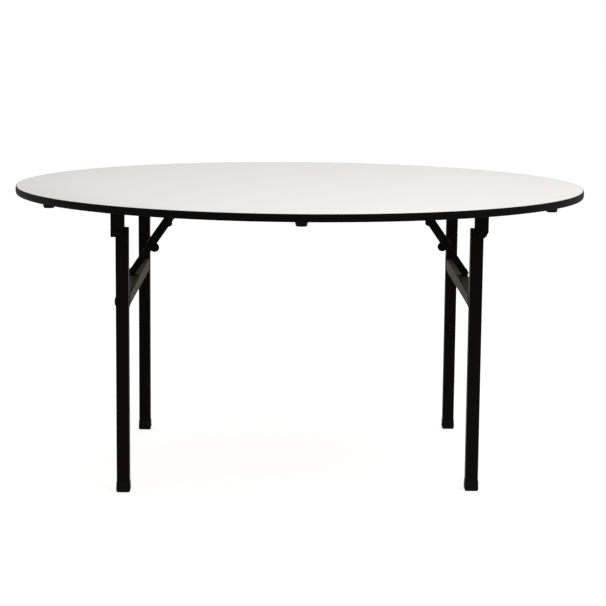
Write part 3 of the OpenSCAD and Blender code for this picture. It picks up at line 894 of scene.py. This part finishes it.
# %% Where the brace lies
brace_top = joint_place["left_upper_arm_fold"]
brace_foot = joint_place["left_lower_arm_fold"]
knuckle = (brace_top + brace_foot) / 2
down_brace = (brace_foot - brace_top).normalized()
open_side = Vector((-down_brace.z, 0, down_brace.x))
upper_low, upper_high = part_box("left_upper_arm")
lower_low, lower_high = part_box("left_lower_arm")
leaf_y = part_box("left_latch_leaf")[0].y
ARM_T = 2 * MM
print(f"brace: {(brace_foot - brace_top).length / MM:.1f} mm between its end pins")


def on_brace(along, off, y):
    """A place measured from the knuckle, down the brace and towards its open side."""
    place = knuckle + down_brace * along + open_side * off
    return Vector((place.x, y, place.z))


# %% Pins and rivets
PIN_R = 4 * MM
PIN_HEAD_R = 7 * MM
PIN_HEAD_H = 2.5 * MM
PIN_GAP = 0.2 * MM
DOME_STEPS = 6
DOME_WALL = 0.3


def dome(radius, height, base):
    """A shallow dome from its rim to its top, on a short straight wall."""
    wall = height * DOME_WALL
    rise = [(radius * math.cos(a), base + wall + (height - wall) * math.sin(a))
            for a in [math.pi / 2 * i / DOME_STEPS for i in range(DOME_STEPS)]]
    return [(radius, base), *rise, (0.0, base + height)]


def rivet(shank_r, shank_l, head_r, head_h, steps=48):
    """A rivet along Z: its shank below zero and its head above."""
    shank = [(0.0, -shank_l), (shank_r, -shank_l), (shank_r, 0.0)]
    return lathe([*shank, *dome(head_r, head_h, 0.0)], steps)


def headed_pin(grip):
    """A pin along Z with a head past each side of the grip."""
    reach = grip / 2 + PIN_GAP
    upper = dome(PIN_HEAD_R, PIN_HEAD_H, reach)
    lower = [(r, -z) for r, z in reversed(upper)]
    return lathe([*lower, (PIN_R, -reach), (PIN_R, reach), *upper])


def across(place):
    """A place with local Z along the table's Y."""
    return Matrix.Translation(place) @ facing((0, 1, 0))


upper_w = upper_high.y - upper_low.y
top_pins = [(headed_pin(upper_w), turn @ across(brace_top)) for turn in SIDES.values()]
assemble(top_pins, "brace_pins", "tabletop", "black_fixings", "brace_top_pins")

KNUCKLE_R = 3.5 * MM
KNUCKLE_HEAD = (6 * MM, 2.5 * MM)
LATCH_ROOT = (-42 * MM, 7.5 * MM)
LATCH_RIVET_R = 2.5 * MM
LATCH_RIVET_HEAD = (4 * MM, 1.8 * MM)
LATCH_LIFT = 0.7 * MM
LOCK_PIN = (33 * MM, 4 * MM)
LOCK_PIN_R = 3 * MM
LOCK_PIN_HEAD = (5 * MM, 1.5 * MM)


def front_face(along, off, y):
    """A place on the brace with local Z towards the front."""
    return Matrix.Translation(on_brace(along, off, y)) @ facing((0, -1, 0))


inside_y = upper_low.y + ARM_T
root_y = leaf_y - LATCH_LIFT
for side, turn in SIDES.items():
    frame_body, arm_body = f"{side}_leg_frame", f"{side}_upper_arm_body"
    pin = (headed_pin(lower_high.y - lower_low.y), turn @ across(brace_foot))
    assemble([pin], f"{side}_brace_foot_pin", frame_body, "black_fixings", f"{side}_lug_pin")
    root = rivet(LATCH_RIVET_R, inside_y - root_y, *LATCH_RIVET_HEAD)
    rivets = [
        (rivet(KNUCKLE_R, ARM_T, *KNUCKLE_HEAD), turn @ front_face(0, 0, upper_low.y)),
        (rivet(KNUCKLE_R, ARM_T, *KNUCKLE_HEAD), turn @ across(on_brace(0, 0, upper_high.y))),
        (root, turn @ front_face(*LATCH_ROOT, root_y)),
    ]
    assemble(rivets, f"{side}_rivets", arm_body, "black_fixings", f"{side}_knuckle_rivets")
    lock = rivet(LOCK_PIN_R, inside_y - leaf_y, *LOCK_PIN_HEAD)
    lock = (lock, turn @ front_face(*LOCK_PIN, leaf_y))
    assemble([lock], f"{side}_latch_pin", f"{side}_latch", "black_fixings", f"{side}_lock_pin")

# %% [markdown]
# ## Foot caps and buttons
# A foot cap is moulded as a tapered boot. It is widest a finger's width above the floor, turns in
# under the leg so that it slides, and has two grip grooves. Its loops are rounded squares. The
# button is a low plastic dome that keeps the folded legs off the next table.

# %% Rounded squares
CORNER_STEPS = 6


def rounded_square(half, radius, height):
    """A level square loop with round corners."""
    loop = []
    for quarter in range(4):
        x = (half - radius) * (1 if quarter in (0, 3) else -1)
        y = (half - radius) * (1 if quarter in (0, 1) else -1)
        loop += arc(x, y, radius, quarter * 90, quarter * 90 + 90, CORNER_STEPS)
    return [(x, y, height) for x, y in loop]


# %% Foot caps
# How far the cap stands out from the tube's face, its corner radius and its height, in mm
CAP_PROFILE = [
    (-1.6, 3.0, 0.0), (-0.6, 3.4, 0.3), (0.3, 3.9, 1.4), (1.2, 4.4, 4.0), (1.7, 4.8, 7.5),
    (1.6, 4.8, 11.0), (1.2, 4.5, 11.4), (1.2, 4.5, 12.2), (1.5, 4.8, 12.6),
    (1.4, 4.7, 15.4), (1.0, 4.4, 15.8), (1.0, 4.4, 16.6), (1.3, 4.7, 17.0),
    (1.1, 4.6, 25.2), (0.9, 4.4, 26.4), (0.5, 4.0, 27.0),
]
CAP_INSIDE = [(0.05, 3.05, 26.6), (0.05, 3.05, 4.0)]


def foot_cap(tube_half):
    loops = [rounded_square(tube_half + out * MM, radius * MM, z * MM)
             for out, radius, z in CAP_PROFILE + CAP_INSIDE]
    return skin([[(0.0, 0.0, 0.0)], *loops, [(0.0, 0.0, CAP_INSIDE[-1][2] * MM)]])


for side in SIDES:
    for end in ("front", "rear"):
        node, name = f"{side}_{end}_foot_cap", f"{side}_{end}_boot"
        low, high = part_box(f"{side}_{end}_leg")
        seat = Matrix.Translation(((low.x + high.x) / 2, (low.y + high.y) / 2, 0.0))
        cap = (foot_cap((high.x - low.x) / 2), seat)
        assemble([cap], name, f"{side}_leg_frame", "black_plastic", node, 30)

# %% Leg buttons
BUTTON_R = 11 * MM
BUTTON_H = 4 * MM
STUB_R = 3 * MM
STUB_L = 1.5 * MM

low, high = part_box("left_leg_button")
seat = Vector((low.x + BUTTON_H, (low.y + high.y) / 2, (low.z + high.z) / 2))
for side, turn in SIDES.items():
    button = rivet(STUB_R, STUB_L, BUTTON_R, BUTTON_H, FINE_STEPS)
    button = (button, turn @ Matrix.Translation(seat) @ facing((-1, 0, 0)))
    frame_body, node = f"{side}_leg_frame", f"{side}_leg_button"
    assemble([button], f"{side}_button", frame_body, "black_plastic", node)

# %% [markdown]
# ## Weld beads
# The crossbar is welded between the legs, and the lug on the crossbar. A bead is laid as a row of
# small frozen pools, each a little over the last, so it is made the same way: a path is walked in
# even steps, and a flat pool is put at each step, square to the path, with a slightly random size.

# %% The tree that lays a bead
BEAD_R = 1.9 * MM
BEAD_STEP = 1.5 * MM
BEAD_SPREAD = (0.88, 1.12)
BEAD_SHAPE = (1.0, 1.0, 0.62)
BEAD_SEED = 11
TUBE_ROUND = 3 * MM


def weld_tree():
    """A row of flat pools along each path."""
    tree = Nodes("Weld bead")
    step = tree.input("Step", "Float")
    bead_r = tree.input("Bead radius", "Float")
    finish = tree.input("Finish", "Material")
    seed = tree.input("Seed", "Int")
    path = tree.node("GeometryNodeMeshToCurve", None, {"Mesh": tree.entry.outputs[0]})
    inputs = {"Curve": path, "Length": step}
    walked = tree.node("GeometryNodeResampleCurve", {"mode": "LENGTH"}, inputs)
    tangent = tree.node("GeometryNodeInputTangent")
    square_on = tree.node("FunctionNodeAlignRotationToVector", {"axis": "Z"}, {"Vector": tangent})
    smallest, largest = BEAD_SPREAD
    limits = {"Min_001": smallest, "Max_001": largest, "Seed": seed}
    uneven = tree.node("FunctionNodeRandomValue", {"data_type": "FLOAT"}, limits, "Value_001")
    inputs = {"Value": uneven, "Value_001": bead_r}
    size = tree.node("ShaderNodeMath", {"operation": "MULTIPLY"}, inputs)
    ball = tree.node("GeometryNodeMeshIcoSphere", None, {"Radius": 1.0, "Subdivisions": 2})
    pool = tree.node("GeometryNodeTransform", None, {"Geometry": ball, "Scale": BEAD_SHAPE})
    inputs = {"Points": walked, "Instance": pool, "Rotation": square_on, "Scale": size}
    tree.finish(tree.node("GeometryNodeInstanceOnPoints", None, inputs), finish)
    return tree


# %% Lay the beads
WELD = weld_tree()


def path_mesh(name, paths):
    """Edges along each path. A path is a list of points and whether it closes."""
    points, edges = [], []
    for path, closed in paths:
        start = len(points)
        points += path
        edges += [(start + i, start + i + 1) for i in range(len(path) - 1)]
        if closed:
            edges.append((start + len(path) - 1, start))
    mesh = bpy.data.meshes.new(name)
    mesh.from_pydata(points, edges, [])
    return mesh


def weld_paths(side):
    """Round both ends of the crossbar, and along both feet of the lug."""
    low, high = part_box(f"{side}_crossbar")
    half, centre = (high.x - low.x) / 2, (low + high) / 2
    paths = []
    for y in (low.y, high.y):
        square = rounded_square(half, TUBE_ROUND, 0.0)
        paths.append(([(centre.x + u, y, centre.z + v) for u, v, _ in square], True))
    lug_low, lug_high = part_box(f"{side}_brace_lug")
    x_from, x_to = max(lug_low.x, low.x + TUBE_ROUND), min(lug_high.x, high.x - TUBE_ROUND)
    for y in (lug_low.y, lug_high.y):
        paths.append(([(x_from, y, high.z), (x_to, y, high.z)], False))
    return paths


for side in SIDES:
    base = path_mesh(f"{side}_weld_path", weld_paths(side))
    values = {"Step": BEAD_STEP, "Bead radius": BEAD_R}
    values |= {"Finish": powder_coat, "Seed": BEAD_SEED}
    beads = show(WELD.run(base, values, f"{side}_welds"), f"{side}_weld_beads", 80)
    settle(beads, f"{side}_leg_frame", "powder_coat")

# %% [markdown]
# ## The camera
# The photograph's camera was found from the rim's ellipse and the four feet. It stands about five
# metres off, a little above the top, and looks down by some nine degrees through a long lens. A
# long lens from far away keeps the near and the far rim almost alike.

# %% Camera
PHOTO_SIZE = 606
FOCAL_PX = 1903.82
SENSOR_MM = 36.0
CAMERA_PLACE = Vector((-0.0306, -5.0629, 1.2055))
YAW, PITCH, ROLL = 0.00824, 0.15297, 0.00937

ahead = Vector((math.sin(YAW) * math.cos(PITCH), math.cos(YAW) * math.cos(PITCH), -math.sin(PITCH)))
level = Vector((math.cos(YAW), -math.sin(YAW), 0.0))
upright = level.cross(ahead)
right_way = math.cos(ROLL) * level + math.sin(ROLL) * upright
up_way = -math.sin(ROLL) * level + math.cos(ROLL) * upright

lens = bpy.data.cameras.new("Photo camera")
lens.sensor_width = SENSOR_MM
lens.lens = SENSOR_MM * FOCAL_PX / PHOTO_SIZE
camera = bpy.data.objects.new("Photo camera", lens)
turned = Matrix((right_way, up_way, -ahead)).transposed().to_4x4()
camera.matrix_world = Matrix.Translation(CAMERA_PLACE) @ turned
bpy.context.scene.collection.objects.link(camera)
bpy.context.scene.camera = camera
bpy.context.scene.view_settings.view_transform = "Standard"
print(f"lens: {lens.lens:.1f} mm")

# %% [markdown]
# ## Floor, world and lamps
# The photograph's background is pure white. The floor and the world show as white to the camera and
# in reflections only, so no extra light falls on the table. From below, the floor is clear, so that
# the underside can be seen. Three large soft lamps and a dim even world light the table: the
# right-hand lamp is the strongest, as the laminate is brighter on that side.

# %% Floor and world
WHITE = (1.0, 1.0, 1.0, 1.0)
FLOOR_HALF = 40.0
FLOOR_TONE = (0.50, 0.50, 0.50, 1.0)
FLOOR_GLOW = 0.84
WORLD_LIGHT = 0.42


def seen_directly(tree):
    """1 for rays from the camera, in a reflection or through glass, and 0 for light that falls."""
    path = tree.nodes.new("ShaderNodeLightPath")
    total = path.outputs["Is Camera Ray"]
    for name in ("Is Glossy Ray", "Is Transmission Ray"):
        either = tree.nodes.new("ShaderNodeMath")
        either.operation = "MAXIMUM"
        tree.links.new(total, either.inputs[0])
        tree.links.new(path.outputs[name], either.inputs[1])
        total = either.outputs[0]
    return total


def make_floor():
    material = bpy.data.materials.new("pale floor")
    material.use_nodes = True
    tree = material.node_tree
    tree.nodes.clear()
    matte = tree.nodes.new("ShaderNodeBsdfDiffuse")
    matte.inputs["Color"].default_value = FLOOR_TONE
    glow = tree.nodes.new("ShaderNodeEmission")
    strength = tree.nodes.new("ShaderNodeMath")
    strength.operation = "MULTIPLY"
    strength.inputs[1].default_value = FLOOR_GLOW
    tree.links.new(seen_directly(tree), strength.inputs[0])
    tree.links.new(strength.outputs[0], glow.inputs["Strength"])
    both = tree.nodes.new("ShaderNodeAddShader")
    tree.links.new(matte.outputs[0], both.inputs[0])
    tree.links.new(glow.outputs[0], both.inputs[1])
    sided = tree.nodes.new("ShaderNodeMixShader")
    away = tree.nodes.new("ShaderNodeNewGeometry").outputs["Backfacing"]
    tree.links.new(away, sided.inputs["Fac"])
    tree.links.new(both.outputs[0], sided.inputs[1])
    tree.links.new(tree.nodes.new("ShaderNodeBsdfTransparent").outputs[0], sided.inputs[2])
    output = tree.nodes.new("ShaderNodeOutputMaterial")
    tree.links.new(sided.outputs[0], output.inputs["Surface"])
    return material


def floor_square():
    half = FLOOR_HALF
    made = bmesh.new()
    made.faces.new([made.verts.new((x, y, 0.0)) for x, y in
                    ((-half, -half), (half, -half), (half, half), (-half, half))])
    return made


floor = piece_from(floor_square(), "floor")
floor.data.materials.append(make_floor())

world = bpy.data.worlds.new("studio")
bpy.context.scene.world = world
world.use_nodes = True
sky = world.node_tree
sky.nodes.clear()
even = sky.nodes.new("ShaderNodeBackground")
even.inputs["Color"].default_value = WHITE
even.inputs["Strength"].default_value = WORLD_LIGHT
backdrop = sky.nodes.new("ShaderNodeBackground")
backdrop.inputs["Color"].default_value = WHITE
backdrop.inputs["Strength"].default_value = 1.0
choose = sky.nodes.new("ShaderNodeMixShader")
sky.links.new(seen_directly(sky), choose.inputs["Fac"])
sky.links.new(even.outputs[0], choose.inputs[1])
sky.links.new(backdrop.outputs[0], choose.inputs[2])
sky_output = sky.nodes.new("ShaderNodeOutputWorld")
sky.links.new(choose.outputs[0], sky_output.inputs["Surface"])


# %% Lamps
def softbox(name, place, target, size, power):
    """A square soft lamp that faces a point."""
    lamp = bpy.data.lights.new(name, "AREA")
    lamp.shape = "SQUARE"
    lamp.size = size
    lamp.energy = power
    stand = bpy.data.objects.new(name, lamp)
    look = (Vector(target) - Vector(place)).to_track_quat("-Z", "Y").to_matrix().to_4x4()
    stand.matrix_world = Matrix.Translation(place) @ look
    bpy.context.scene.collection.objects.link(stand)


LAMP_TARGET = (0.0, 0.0, 0.7)
softbox("key", (1.3, -1.0, 2.8), LAMP_TARGET, 2.2, 38.0)
softbox("fill", (-3.0, -1.6, 3.0), LAMP_TARGET, 2.4, 3.0)
softbox("back", (0.0, 3.2, 3.2), LAMP_TARGET, 2.0, 16.0)
